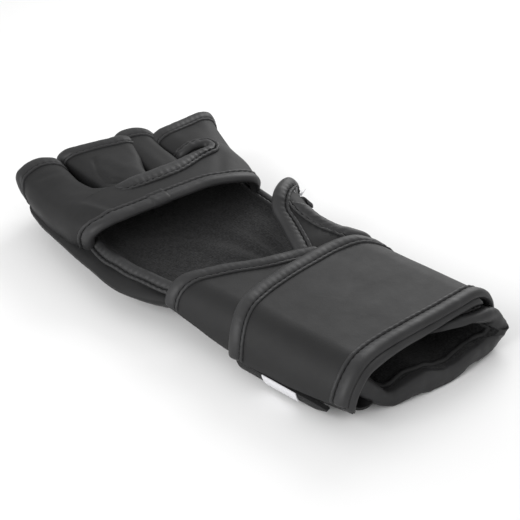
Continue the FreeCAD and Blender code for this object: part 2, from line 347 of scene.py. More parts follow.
def binding(name, columns, material, width=9.0, thickness=2.2, pucker=1.0):
    """A folded tape along an edge, pulled in a little at each stitch."""
    base, _ = along_columns(columns, 0.0)
    width, thickness = stretched(width, len(base)), stretched(thickness, len(base))
    run = run_along(base)
    scallop = np.cos(2 * math.pi * run / STITCH_PITCH)
    uneven = bumps(base, 9.0, seed=3.0)
    fine = bumps(base, 3.2, seed=11.0)
    ends = np.minimum(run, run[-1] - run)
    swell = np.clip(ends / 1.5, 0.25, 1.0)
    rings = []
    for share, extra, height, depth in TAPE_SECTION:
        inwards = share * width + extra
        at, facing = along_columns(columns, inwards)
        lift = height + depth * thickness
        if height > 0.3:
            pull = 0.2 * scallop * ridge(inwards - (width - SEAM), SEAM_REACH)
            lift = lift + pucker * (pull + 0.16 * uneven + 0.17 * fine * (1.1 - share))
        elif depth < 0:
            lift = lift - pucker * 0.25 * uneven
        middle = -thickness * 0.5
        lift = middle + (lift - middle) * swell
        rings.append(at + facing * lift[:, None])
    points = np.stack(rings, 1)
    rows, cols = points.shape[:2]
    faces = tube_faces(rows, cols)
    return make_object(name, points.reshape(-1, 3), faces, material)


def stitches(name, columns, material, inset):
    """A row of short threads, each a small rounded bar, at a distance in from the edge."""
    at, facing = along_columns(columns, inset)
    run = run_along(at)
    arch = np.sin(np.linspace(0, math.pi, THREAD_SECTIONS))[:, None]
    height, radius = 0.3 * arch - 0.05, 0.2 + 0.22 * arch
    angle = 2 * math.pi * np.arange(THREAD_SIDES) / THREAD_SIDES
    points, faces = [], []
    for start in np.arange(1.5, run[-1] - STITCH_LENGTH, STITCH_PITCH):
        length = STITCH_LENGTH * random.uniform(0.85, 1.1)
        s = np.linspace(start, start + length, THREAD_SECTIONS)
        line = np.stack([np.interp(s, run, at[:, k]) for k in range(3)], 1)
        up = np.stack([np.interp(s, run, facing[:, k]) for k in range(3)], 1)
        side = np.cross(up, unit(line[-1] - line[0]))
        bar = ring_points(line + up * height, side * radius, up * radius, angle)
        faces += tube_faces(THREAD_SECTIONS, THREAD_SIDES, start=len(points))
        points += list(bar)
    return make_object(name, points, faces, material)


def tube_mesh(path, radius, sides, start=0):
    """Points and faces of a round bar along a path; radius may be given for each point."""
    radius = stretched(radius, len(path))[:, None]
    ahead = unit(np.gradient(path, axis=0))
    side = unit(np.cross(ahead, [0.1, 0.2, 1.0]))
    up = np.cross(side, ahead)
    angle = 2 * math.pi * np.arange(sides) / sides
    return ring_points(path, side * radius, up * radius, angle), tube_faces(len(path), sides, start)


def bound_edge(name, columns, body, nodes, bend=None, width=9.0, thickness=2.2, pucker=1.0):
    """A binding and its row of stitches."""
    tape = binding(name, columns, MATERIALS["binding"], width, thickness, pucker)
    place(tape, body, nodes, bend)
    inset = stretched(width, len(columns[0])) - SEAM
    thread = stitches(name + "_stitches", columns, MATERIALS["thread"], inset)
    place(thread, body, (), bend)


def lined_sheet(name, grid, inside, body, nodes, lining_nodes, bend=None):
    """A leather sheet and the lining under it."""
    normals = normals_of(grid, inside)
    sheet = slab(name, grid, normals, 0.0, LEATHER, MATERIALS["leather"])
    place(sheet, body, nodes, bend)
    under = slab(name + "_lining", grid, normals, LEATHER + LINING_GAP, LINING, MATERIALS["lining"])
    place(under, body, lining_nodes, bend)
    return normals


# ---------------------------------------------------------------- materials

def new_material(name):
    material = bpy.data.materials.new(name)
    material.use_nodes = True
    nodes, links = material.node_tree.nodes, material.node_tree.links
    return material, nodes, links, nodes["Principled BSDF"]


def set_inputs(node, values):
    for name, value in values.items():
        node.inputs[name].default_value = value


def noise_node(nodes, links, coords, scale, detail, roughness=0.55):
    node = nodes.new("ShaderNodeTexNoise")
    set_inputs(node, {"Scale": scale, "Detail": detail, "Roughness": roughness})
    links.new(coords.outputs["Object"], node.inputs["Vector"])
    return node


def colour_ramp(nodes, links, source, low, high, start=0.3, end=0.7):
    node = nodes.new("ShaderNodeValToRGB")
    for element, place_at, colour in zip(node.color_ramp.elements, (start, end), (low, high)):
        element.position = place_at
        element.color = (*colour, 1)
    links.new(source, node.inputs["Fac"])
    return node


def bump_node(nodes, links, height, distance, strength, below=None):
    bump = nodes.new("ShaderNodeBump")
    set_inputs(bump, {"Distance": distance, "Strength": strength})
    links.new(height, bump.inputs["Height"])
    if below is not None:
        links.new(below.outputs["Normal"], bump.inputs["Normal"])
    return bump


def grey(value):
    """A grey that is a touch bluish."""
    return (value, value, value * 1.03)


def leather_material(name, low, high, rough, grain_size=0.45):
    """Matte synthetic leather: fine pebble grain, faint creases, uneven tone and handling marks."""
    material, nodes, links, shader = new_material(name)
    coords = nodes.new("ShaderNodeTexCoord")
    tone = noise_node(nodes, links, coords, 38.0, 5.0)
    colour = colour_ramp(nodes, links, tone.outputs["Fac"], grey(low), grey(high))
    links.new(colour.outputs["Color"], shader.inputs["Base Color"])
    patches = noise_node(nodes, links, coords, 120.0, 6.0, 0.65)
    dull = nodes.new("ShaderNodeMapRange")
    set_inputs(dull, {"To Min": rough - 0.07, "To Max": rough + 0.08})
    links.new(patches.outputs["Fac"], dull.inputs["Value"])
    links.new(dull.outputs["Result"], shader.inputs["Roughness"])
    pebbles = nodes.new("ShaderNodeTexVoronoi")
    pebbles.feature = "SMOOTH_F1"
    set_inputs(pebbles, {"Scale": 1 / (grain_size * MM)})
    links.new(coords.outputs["Object"], pebbles.inputs["Vector"])
    grain = bump_node(nodes, links, pebbles.outputs["Distance"], 0.00006, 0.5)
    soft = noise_node(nodes, links, coords, 420.0, 3.0)
    creases = bump_node(nodes, links, soft.outputs["Fac"], 0.00012, 0.35, below=grain)
    links.new(creases.outputs["Normal"], shader.inputs["Normal"])
    set_inputs(shader, {"Specular IOR Level": 0.3})
    return material


def fabric_material(name, low, high, weave_size, sheen, fuzz=0.0004):
    """Soft knitted fabric: crossing ribs, a fuzzy surface and a mottled tone."""
    material, nodes, links, shader = new_material(name)
    coords = nodes.new("ShaderNodeTexCoord")
    tone = noise_node(nodes, links, coords, 900.0, 6.0, 0.7)
    colour = colour_ramp(nodes, links, tone.outputs["Fac"], grey(low), grey(high), 0.4, 0.62)
    links.new(colour.outputs["Color"], shader.inputs["Base Color"])
    heights = None
    for axis in "XY":
        wave = nodes.new("ShaderNodeTexWave")
        wave.bands_direction = axis
        set_inputs(wave, {"Scale": 1 / (6 * weave_size * MM), "Distortion": 1.2, "Detail": 2.0})
        links.new(coords.outputs["Object"], wave.inputs["Vector"])
        heights = bump_node(nodes, links, wave.outputs["Fac"], 0.0001, 0.35, below=heights)
    hairs = noise_node(nodes, links, coords, 1500.0, 4.0, 0.75)
    heights = bump_node(nodes, links, hairs.outputs["Fac"], fuzz, 0.55, below=heights)
    links.new(heights.outputs["Normal"], shader.inputs["Normal"])
    set_inputs(shader, {"Roughness": 0.92, "Specular IOR Level": 0.2, "Sheen Weight": sheen,
                        "Sheen Roughness": 0.45})
    return material


MATERIALS = {
    "leather": leather_material("matte_leather", 0.009, 0.0125, 0.60),
    "binding": leather_material("binding_tape", 0.019, 0.030, 0.50, grain_size=0.38),
    "lining": fabric_material("knit_lining", 0.008, 0.027, 0.7, 0.08),
    "thread": fabric_material("thread", 0.006, 0.010, 0.3, 0.0, fuzz=0.0001),
    "loop": fabric_material("loop_pile", 0.006, 0.014, 0.5, 0.06, fuzz=0.0008),
    "label": fabric_material("label_satin", 0.60, 0.70, 0.25, 0.0, fuzz=0.00005),
    "raw_end": fabric_material("raw_tape_end", 0.42, 0.60, 0.3, 0.0, fuzz=0.0002),
}


# ---------------------------------------------------------------- palm bar and finger stalls

def row(points, splits, counts):
    """A smooth row through points, resampled with its own count between the split points."""
    points = np.array(points, float)
    steps, knots = lengths(points), run_along(points)
    marks = [0.0] + [knots[i] for i in splits] + [knots[-1]]
    parts = []
    for low, high, count in zip(marks, marks[1:], counts):
        fine = hermite(points, steps, np.linspace(low, high, 200))
        parts.append(respaced(fine, count + 1)[:-1])
    parts.append(points[-1:])
    return np.vstack(parts)


# Rows of points across the palm, from the little-finger side to the thumb side, one row behind the
# other: first the palm bar, up to the slit, then each finger's stall, out to its tip
BAR_COUNTS = (44, 64, 26)
BAR_REAR = [
    (-60.4, 50), (-64, 46.4, 27), (-63.9, 44, 31.4), (-59.6, 42.3, 35.4), (-49.4, 40.7, 37.8),
    (-38, 40, 38.8), (-31, 39.7, 39.2), (-11.5, 40, 39.7), (8.5, 39.5, 39.5), (20, 37.6, 38.2),
    (28, 37.1, 35.8), (33.5, 37.6, 32.5), (36.5, 39.3, 29), (38.5, 42.5, 24), (38.5, 45)]
BAR_MIDDLE = [
    (-66.5, 60), (-68.5, 58, 27), (-66.5, 56, 32), (-61, 55, 35.8), (-50, 54, 38.2), (-38, 54, 39.2),
    (-31, 54, 39.6), (-11.5, 54, 40.2), (8.5, 54, 40), (22, 54, 39), (31, 54, 37.3), (36, 54.3, 35.7),
    (41, 55, 32), (43.8, 57, 26.4), (43.6, 58)]
BAR_SLIT = [
    (-67.5, 73), (-69, 72, 27), (-66.5, 71, 31.5), (-61, 70.5, 34.8), (-50, 70.5, 37),
    (-38, 70.5, 38.3), (-27, 69.6, 38.9), (-11.5, 68.9, 39.4), (2, 69.5, 39.4), (15, 72, 39),
    (29.5, 76, 38.4), (37.4, 76.8, 36.9), (43.2, 77, 33.2), (46.4, 77.6, 28.8), (47, 78.4, 25.4),
    (46.6, 79)]
LITTLE_ROWS = [
    [(-68, 80), (-69.5, 80, 27), (-66.5, 79.5, 31.5), (-60, 79, 34.3), (-50, 79, 35.4),
     (-44, 79.5, 35.2), (-41.2, 80, 33.6), (-39.6, 80.5, 29), (-39.2, 81)],
    [(-67.6, 90), (-69.3, 90, 27), (-66.3, 89.5, 31.2), (-59.6, 89.5, 33.4), (-51.4, 89.5, 34.2),
     (-46, 89.5, 33.8), (-43, 90, 32.4), (-40.4, 90, 28), (-39.3, 90)],
    [(-67, 102), (-69, 102, 27), (-66, 102, 31.5), (-59, 102, 34.2), (-51.4, 102, 35.1),
     (-46, 102, 34.5), (-42.6, 102, 32.6), (-40, 102, 28), (-39.3, 102)],
    [(-60.5, 119.5), (-65, 121.4, 26), (-65, 123.4, 30.6), (-59.4, 125, 33.4), (-52, 125.5, 34.5),
     (-45.4, 124.2, 33.4), (-41.6, 122.2, 31.8), (-39.6, 120.6, 28.6), (-39.4, 119.6)]]
SLIT_END = 29.5              # X of the slit's thumb-side end
INDEX_ROWS = [
    [(14, 82.4), (13.4, 81.6, 28.6), (14.8, 80.8, 34), (19.6, 80.3, 37.4), (25, 80, 38.4),
     (29.5, 79, 38.5), (37, 78.8, 37), (42.6, 78.8, 33.8), (46.4, 79, 29.6), (47.2, 79.4, 26),
     (46.6, 80)],
    [(11.6, 93), (11.2, 93, 29), (12.8, 93.4, 35.2), (18.8, 94.6, 38), (27.6, 95.6, 38.5),
     (36, 95.8, 38.4), (44, 95.4, 37.4), (48.6, 95, 34.2), (50.4, 94.6, 29.8), (50.4, 94.4, 26),
     (49.6, 94)],
    [(10.5, 107), (10.2, 107.6, 29), (12, 108.6, 34.4), (16.8, 109.2, 37.2), (26, 109.4, 38),
     (37.2, 111, 38), (47.5, 112.6, 37.9), (53, 112.2, 36.6), (55.6, 111.6, 32), (55.8, 111, 26),
     (54.6, 110.6)]]
RING_ROWS = [
    [(-36.6, 73), (-37.2, 71, 28.6), (-36, 67, 33.6), (-32, 64, 36.6), (-26, 63, 37.8), (-20, 63, 37.9),
     (-16, 64, 37.4), (-13.2, 66, 35.8), (-12.2, 69, 33), (-11.6, 71, 29), (-12.2, 73)],
    [(-37.2, 78), (-37.6, 78, 28.6), (-36.6, 78, 34), (-32.6, 77.6, 37), (-26, 77, 38.4),
     (-20, 76.6, 38.8), (-15.4, 76.2, 38.4), (-12.6, 76, 37), (-11.4, 76, 34.6), (-10.8, 76, 30),
     (-11.6, 76)],
    [(-37.4, 97), (-37.8, 97, 28.6), (-36.8, 96.6, 33.2), (-33, 96.2, 36), (-26.6, 95.6, 37.6),
     (-19.4, 95, 38.4), (-11.8, 94, 38.6), (-7, 93, 37.8), (-5, 92.6, 35.8), (-4.2, 92, 30.6),
     (-5, 92)],
    [(-37.6, 112), (-38, 112, 28), (-37, 111.6, 32.4), (-33.6, 111, 35), (-27, 110, 36.8),
     (-19.5, 109, 37.8), (-11, 107.4, 38.4), (-4.9, 105.6, 38.2), (-1.6, 104.8, 36.6), (-0.4, 104, 31),
     (-1.4, 104)],
    [(-37.8, 126), (-38.2, 126.4, 28), (-37.4, 126.4, 31.6), (-34.8, 125.2, 34.2), (-28, 122.4, 36),
     (-20.2, 119.5, 37.1), (-12.4, 117, 38), (-4.9, 115.4, 38.1), (-0.6, 114.4, 36.8), (0.8, 114, 31),
     (-0.4, 113.8)]]
MIDDLE_ROWS = [
    [(-9.2, 73), (-10.2, 71, 28), (-8.8, 67, 33.4), (-4, 64, 36.6), (1.4, 63, 37), (7, 64, 36.4),
     (11.6, 67, 33), (12.8, 71, 28), (12, 73)],
    [(-8.4, 80), (-9.4, 80, 28), (-7.8, 80, 33.8), (-3, 80, 37), (2.4, 80, 37.4), (8, 80, 36.8),
     (12.2, 80, 33), (13, 80, 28), (12.2, 80)],
    [(-8.6, 100), (-9.4, 100, 28), (-7.6, 100, 33.8), (-2.4, 100, 37.2), (3, 100, 37.8),
     (8.8, 100, 37.2), (12.6, 99, 33.4), (13.6, 98, 28), (12.8, 98)],
    [(-8.4, 118), (-9, 119, 28), (-6.5, 120.2, 33.6), (-1.5, 120.6, 37), (3.8, 119.6, 38),
     (9, 117.2, 38), (12.8, 113.8, 36.8), (14.8, 110.6, 33), (14.4, 109)]]
BENDS = {"little": (72, 92), "ring": (68, 88), "middle": (68, 88), "index": (78, 96)}
BEND_HEIGHT = 30.0
SEAT_HEIGHT = 15.6           # of the rows' ends, inside the pad
FOLD_FADE = 3.0              # how far past its ends a fold fades out


def seated(rows):
    """Rows whose ends, given in plan, run on down into the pad."""
    return [[(*points[0][:2], SEAT_HEIGHT), *points[1:-1], (*points[-1][:2], SEAT_HEIGHT)]
            for points in rows]


def bend_of(finger):
    x = node_box(finger + "_stall")[0][0]
    start, end = BENDS[finger]
    return finger + "_finger", (x, start, BEND_HEIGHT), (x, end, BEND_HEIGHT)


def soften(grid, inside, seed, size=0.35, folds=()):
    """Adds slack to a sheet: broad unevenness, and long soft folds. A fold is given as its two ends
    in plan, its height and its width."""
    normals = normals_of(grid, inside)
    lift = size * bumps(grid, 18.0, seed) + 0.1 * size * bumps(grid, 5.0, seed + 5)
    for (x0, y0), (x1, y1), height, width in folds:
        along = np.array([x1 - x0, y1 - y0], float)
        span = np.linalg.norm(along)
        along /= span
        offset = grid[..., :2] - np.array([x0, y0])
        run = offset @ along
        across = offset @ np.array([-along[1], along[0]])
        fade = ramp(run, -FOLD_FADE, FOLD_FADE) * ramp(run, span + FOLD_FADE, span - FOLD_FADE)
        lift = lift + height * ridge(across, width) * fade
    return grid + normals * lift[..., None]


def dress_stall(finger, grid, inside):
    """A stall's leather, lining and tip binding over its shape."""
    bend = bend_of(finger)
    normals = lined_sheet(finger + "_stall_leather", grid, inside, None, [finger + "_stall"],
                          [finger + "_stall_lining"], bend)
    columns = edge_columns(grid, normals, "last_row")
    bound_edge(finger + "_tip_binding", columns, None, [finger + "_stall_binding"], bend)


def stall(finger, rows, splits, counts, inside, length_count, folds=()):
    """A finger stall: an upturned U of lined leather, bound at its tip."""
    lines = [row(points, splits, counts) for points in seated(rows)]
    grid = soften(loft(lines, length_count), inside, seed=len(finger) * 7.0, folds=folds)
    dress_stall(finger, grid, inside)


TAPE_JOINT = slice(47, 60)   # the stations where the ends of the bar's tape overlap
TAPE_JOINT_LIFT = 0.35


def make_bar():
    """The leather bar across the palm, from the rear tape to the slit."""
    rows = [row(points, (5, 10), BAR_COUNTS) for points in seated([BAR_REAR, BAR_MIDDLE, BAR_SLIT])]
    inside = (-12, 60, 15)
    folds = [((-58, 68), (-51, 45), 0.7, 2.2), ((-62, 60), (-57, 44), -0.6, 2.4),
             ((16, 46), (30, 66), -0.5, 3.5)]
    grid = soften(loft(rows, 34), inside, 1.0, 0.3, folds)
    normals = lined_sheet("bar_leather", grid, inside, ROOT, ["palm_bar"], ["palm_bar_lining"])
    rear = edge_columns(grid, normals, "first_row")
    bound_edge("bar_rear_binding", rear, ROOT, ["palm_bar_binding"])
    lines, facing = rear[0][TAPE_JOINT], rear[1][TAPE_JOINT]
    raised = (lines + facing * TAPE_JOINT_LIFT, facing)
    overlap = binding("bar_tape_overlap", raised, MATERIALS["binding"], 9.5, 3.0)
    place(overlap, ROOT)
    return grid


def make_little_stall(bar):
    """The little finger's stall runs on from the bar, and closes over the finger's inner side."""
    inside = (-53, 100, 15)
    lines = [smooth_line(points, 60) for points in seated(LITTLE_ROWS)]
    grid = loft(lines, 52)
    base = bar[-1, :BAR_COUNTS[0] + 1]
    start = respaced(np.vstack([base, grid[0][-16:] - [0, 1.0, 0]]), 60)
    rows = np.stack([start] + [grid[i] for i in (0, 17, 34, 51)])
    whole = soften(loft(rows, 60), inside, 4.0, 0.28, [((-62, 108), (-44, 104), -0.35, 2.5)])
    dress_stall("little", whole, inside)


def make_index_stall(bar):
    """The index finger's stall, and the web that joins its outer side to the bar."""
    inside = (32, 100, 15)
    lines = [smooth_line(points, 66) for points in seated(INDEX_ROWS)]
    grid = soften(loft(lines, 44), inside, 9.0, 0.28, [((22, 96), (40, 104), -0.3, 3.0)])
    dress_stall("index", grid, inside)
    behind = grid[0]
    corner = int(np.argmin(np.abs(behind[:, 0] - SLIT_END) + (behind[:, 2] < 30) * 50))
    side = bar[-1, BAR_COUNTS[0] + BAR_COUNTS[1]:]
    upper = respaced(behind[corner:], len(side))
    gusset = loft(np.stack([side, (side + upper) / 2, upper]), 10)
    web = slab("index_web", gusset, normals_of(gusset, inside), 0.0, LEATHER, MATERIALS["leather"])
    place(web, None, (), bend_of("index"))


# The slit's edge: along the palm bar, round its thumb-side end and back along the index stall
SLIT_EDGE = [
    (-37, 69.8, 37.2), (-32, 69.5, 38.8), (-24, 69.4, 39.8), (-11.5, 68.9, 40.3), (2, 69.5, 40.3),
    (14.4, 71.9, 39.9), (23.4, 73.3, 39.4), (27.4, 74.4, 38.8), (29.3, 76.6, 38.4), (28.6, 78.8, 38.4),
    (25.6, 79.9, 38.3), (19.6, 80.4, 37.4), (15.6, 80.9, 34.6), (14.2, 81.8, 30), (14.4, 82.6, 25)]
SLIT_WIDTHS = [6.4, 9.4, 10.6, 10.6, 10.6, 10.4, 9.6, 8.4, 7.2, 6.6, 6.4, 6.4, 6.4, 6.2, 6]


def make_slit_binding():
    """The tape round the slit; past its bend it turns to face the finger's hole."""
    points = smooth_line(SLIT_EDGE, 150)
    drop = ramp(points[:, 2], 36.5, 31.5)
    drop[:75] = 0
    up = np.column_stack([-0.9 * drop, -0.2 * drop, 1 - 0.75 * drop])
    away = np.cross(np.gradient(points, axis=0), up)
    bound_edge("slit_tape", path_columns(points, away, up), None, ["slit_binding"], bend_of("index"),
               width=SLIT_WIDTHS, thickness=2.2, pucker=2.0)


def make_open_stalls():
    """The ring and middle fingers' stalls, whose rear ends lie under the palm bar."""
    folds = [((-28, 103), (-33, 91), -1.3, 1.6), ((-33, 91), (-34, 79), -1.7, 1.7),
             ((-34, 79), (-29, 72), -1.6, 1.7), ((-23, 100), (-21, 80), 0.5, 4.0)]
    stall("ring", RING_ROWS, (5,), (34, 34), (-24, 95, 12), 60, folds)
    stall("middle", MIDDLE_ROWS, (4,), (30, 30), (3, 95, 12), 60)


# ---------------------------------------------------------------- pads

PAD_OUTLINE = [
    (-56, 122), (-65.5, 113), (-70, 95), (-71.2, 72), (-71.5, 40), (-70, 14), (-62, -3), (-48, -17),
    (-28, -28), (0, -35), (28, -40), (42, -30), (43, 0), (43.5, 30), (46, 62), (51, 92), (54, 110),
    (46, 120), (0, 125)]
PAD_MIDDLE = ((-13, -4), (-8, 92))
KNUCKLE_Y = 73.0
FINGER_SPLITS = (-38.0, -4.2, 17.4)        # between neighbouring finger pads
# The pad's section from the back to the lip and in to the palm, as distance in from the outline and
# height: on the little-finger side, and on the thumb side
LITTLE_SECTION = [
    (29, 0.25), (24.5, 0.9), (20.5, 2.2), (16.8, 4.0), (13.2, 6.0), (9.6, 8.0), (6.2, 10.2),
    (3.2, 12.5), (1.2, 14.4), (0.9, 16.0), (3.0, 17.6), (6.5, 18.6), (10, 19.8), (12.6, 21.2),
    (14.2, 21.0), (16, 18.8), (20, 15.6)]
THUMB_SECTION = [
    (22, 0.25), (17.5, 0.9), (13.5, 2.2), (10, 4.0), (7.0, 6.0), (4.4, 8.0), (2.4, 10.4), (1.0, 12.8),
    (0.2, 15.0), (0.0, 16.6), (0.2, 18.0), (0.8, 19.2), (1.6, 20.0), (2.8, 20.4), (4.4, 20.0),
    (7.0, 18.0), (11, 15.8)]
LITTLE_LINING = [(13.4, 21.6), (15, 21.2), (17, 18.9), (20, 17.0), (25, 16.2), (30, 15.8)]
THUMB_LINING = [(3.0, 20.8), (4.6, 20.6), (7.0, 19.2), (10, 17.8), (14, 16.8), (20, 16.2)]
LINING_CENTRE = ((-13, 68), (-12.9, 69))   # under the palm bar
GATHER = (14.0, -30.0)       # the lining's folds fan out from where the cuff pulls the palm in
PAD_GAP = 0.1                # between neighbouring pads
MIDDLE_DIP = 2.4             # of the pad's palm side


def drawn_in(outline, middle, distance=None, share=None):
    """Each point of an outline moved towards the nearest point of a middle line."""
    low, high = [np.array(point, float) for point in middle]
    axis = high - low
    t = np.clip(((outline - low) @ axis) / max(axis @ axis, 1e-9), 0, 1)
    target = low + t[:, None] * axis
    gap = target - outline
    reach = np.linalg.norm(gap, axis=1, keepdims=True)
    if share is None:
        share = np.minimum(distance / reach, 0.9)
    return outline + gap * share


def section_rings(outline, middle, little, thumb, shares, drop, centre=None):
    """Closed rings along a section that changes across the glove, then in to the centre line."""
    side = ramp(outline[:, :1], -45, 20)
    side = side * side * (3 - 2 * side)
    rings = []
    for (inset_a, height_a), (inset_b, height_b) in zip(little, thumb):
        inset = inset_a + (inset_b - inset_a) * side
        height = height_a + (height_b - height_a) * side
        rings.append(np.column_stack([drawn_in(outline, middle, inset), height]))
    last = rings[-1]
    for share in shares:
        ring = drawn_in(last[:, :2], centre or middle, share=share)
        rings.append(np.column_stack([ring, last[:, 2] - drop * math.sin(share * math.pi / 2)]))
    return rings


def pad(name, outline, middle, unevenness):
    """The whole pad, closed over its back and its inner side, and the outline it follows."""
    outline = smooth_loop([(x, y, 0) for x, y in outline], 160)[:, :2]
    rings = section_rings(outline, middle, LITTLE_SECTION, THUMB_SECTION, (0.25, 0.5, 0.75, 1.0),
                          MIDDLE_DIP)
    back = []
    for share in (1.0, 0.85, 0.6, 0.35):
        ring = drawn_in(rings[0][:, :2], middle, share=share)
        back.append(np.column_stack([ring, np.full(len(ring), 0.1)]))
    rings = loft(np.array(back + rings), 3 * len(back + rings))
    lift = unevenness * bumps(rings, 16.0, seed=2.0) + 0.3 * unevenness * bumps(rings, 6.0, seed=8.0)
    centre = np.array([rings[..., 0].mean(), rings[..., 1].mean(), 11.0])
    rings = rings + unit(rings - centre) * lift[..., None]
    rows, cols = rings.shape[:2]
    faces = grid_faces(rows, cols, closed_cols=True)
    return make_object(name, rings.reshape(-1, 3), faces, MATERIALS["leather"]), outline


def make_hand_lining(outline):
    """The slack lining inside the hand, with its folds."""
    rings = section_rings(outline, PAD_MIDDLE, LITTLE_LINING, THUMB_LINING, (0.2, 0.4, 0.6, 0.8, 0.99),
                          1.2, LINING_CENTRE)
    grid = loft(np.array(rings), 72)
    x, y = grid[..., 0] - GATHER[0], grid[..., 1] - GATHER[1]
    angle, reach = np.arctan2(y, x), np.hypot(x, y)
    fade = ramp(reach, 12, 28) * ramp(reach, 76, 46)
    folds = 0.55 * fade * np.cos(15 * angle + 1.6 * np.sin(4 * angle))
    grid[..., 2] += folds + 0.7 * bumps(grid, 17.0, 5.0)
    grid[..., 2] += 0.22 * bumps(grid, 4.5, 9.0)
    grid[..., 1] = np.minimum(grid[..., 1], KNUCKLE_Y - 0.5 + 0.02 * (grid[..., 1] - KNUCKLE_Y))
    rows, cols = grid.shape[:2]
    top = grid.reshape(-1, 3)
    under = top - np.array([0, 0, LINING])
    faces = grid_faces(rows, cols, closed_cols=True)
    faces += [face[::-1] for face in grid_faces(rows, cols, closed_cols=True, start=rows * cols)]
    for j in range(cols):
        k = (j + 1) % cols
        faces.append((j, k, rows * cols + k, rows * cols + j))
    centre_ring = [(rows - 1) * cols + j for j in range(cols)]
    faces += [tuple(centre_ring), tuple(rows * cols + j for j in reversed(centre_ring))]
    lining = make_object("hand_lining", np.vstack([top, under]), faces, MATERIALS["lining"])
    place(lining, ROOT, ["backhand_lining"])


def cut_piece(name, source, planes):
    """A closed copy of a mesh, cut by planes: each is a point and the direction that is cut away."""
    bm = bmesh.new()
    bm.from_mesh(source.data)
    for point, away in planes:
        whole = bm.verts[:] + bm.edges[:] + bm.faces[:]
        at = (np.array(point) + ORIGIN) * MM
        bmesh.ops.bisect_plane(bm, geom=whole, dist=1e-7, plane_co=at, plane_no=away, clear_outer=True)
        rim = [edge for edge in bm.edges if edge.is_boundary]
        filled = bmesh.ops.holes_fill(bm, edges=rim, sides=0)["faces"]
        bmesh.ops.triangulate(bm, faces=filled)
    mesh = bpy.data.meshes.new(name)
    bm.to_mesh(mesh)
    bm.free()
    mesh.materials.append(MATERIALS["leather"])
    shade_smooth(mesh)
    return add_object(name, mesh)


def make_pads():
    """One arched pad over the back of the hand, split at the knuckles and between the fingers."""
    whole, outline = pad("whole_pad", PAD_OUTLINE, PAD_MIDDLE, 0.35)
    hand = cut_piece("hand_pad", whole, [((0, KNUCKLE_Y, 0), (0, 1, 0))])
    place(hand, ROOT, ["backhand_shell", "outer_foam", "inner_foam"])
    edges = (-100.0,) + FINGER_SPLITS + (100.0,)
    for finger, left, right in zip(FINGERS, edges, edges[1:]):
        planes = [((0, KNUCKLE_Y + PAD_GAP, 0), (0, -1, 0)), ((left + PAD_GAP / 2, 0, 0), (-1, 0, 0)),
                  ((right - PAD_GAP / 2, 0, 0), (1, 0, 0))]
        block = cut_piece(finger + "_pad", whole, planes)
        nodes = [finger + "_pad_shell", finger + "_pad_foam"]
        place(block, None, nodes, bend_of(finger))
    bpy.data.objects.remove(whole)
    return outline


# ---------------------------------------------------------------- cuff, flap and strap

CUFF_TURN = math.radians(11.0)
CUFF_PLACE = (3, -62)        # where the cuff's own frame has its origin
CUFF_MIDDLE = (*CUFF_PLACE, 15)
# Edge lines across the cuff, as X and Y in its own frame
CUFF_FRONT = [(-60, 56), (-45, 54), (-20, 44), (0, 36), (24, 25), (40, 20), (48, 14), (60, 4)]
CUFF_REAR = [(-60, -42), (-40, -50), (-16, -60), (8, -66), (28, -68), (60, -65)]
FLAP_FRONT = [
    (-60, 65), (-52, 62), (-46, 59.5), (-35, 54.5), (-25, 50), (-7, 40), (12, 33), (22, 28), (60, 12)]
STRAP_FRONT = [
    (-60, 11), (-50, 17), (-31, 22), (-10, 23.5), (10, 23), (25, 22), (39, 17.5), (47.5, 11), (60, 1)]
STRAP_REAR = [(-60, -57), (-35, -54), (-5, -56), (25, -59), (60, -61)]


def from_cuff(points):
    """From the cuff's own frame, with its tube along Y, to the glove's."""
    points = np.asarray(points, float)
    c, s = math.cos(CUFF_TURN), math.sin(CUFF_TURN)
    x = CUFF_PLACE[0] + points[..., 0] * c - points[..., 1] * s
    y = CUFF_PLACE[1] + points[..., 0] * s + points[..., 1] * c
    return np.stack([x, y, points[..., 2]], -1)


def edge_at(edge, x):
    """An edge line's Y at each x, in plan."""
    points = np.array(edge, float)
    steps = np.diff(points[:, 0])
    values = hermite(points, steps, np.asarray(x, float).ravel() - points[0, 0])
    return values[:, 1].reshape(np.shape(x))


TUBE_RADIUS = 15.0           # of the cuff tube's rounded sides
TUBE_FLAT = 35.5             # from its middle to where a side starts to round


def oval(outset, turn):
    """A point of the cuff tube's section. turn is -1 at the little-finger side, 0 in the middle of
    the top and 1 at the thumb side; beyond 1 or -1 it goes on round the side, towards the floor."""
    radius = TUBE_RADIUS + outset
    run = abs(turn) * (TUBE_FLAT + math.pi / 2 * radius)
    side = math.copysign(1.0, turn)
    if run <= TUBE_FLAT:
        return side * run, TUBE_RADIUS + radius
    angle = (run - TUBE_FLAT) / radius
    if angle <= math.pi:
        return side * (TUBE_FLAT + radius * math.sin(angle)), TUBE_RADIUS + radius * math.cos(angle)
    return side * (TUBE_FLAT - (run - TUBE_FLAT - math.pi * radius)), -outset


def turn_to(z, outset, side=1.0):
    """The turn at which a sheet of this outset has come down to height z."""
    radius = TUBE_RADIUS + outset
    run = TUBE_FLAT + math.acos((z - TUBE_RADIUS) / radius) * radius
    return side * run / (TUBE_FLAT + math.pi / 2 * radius)


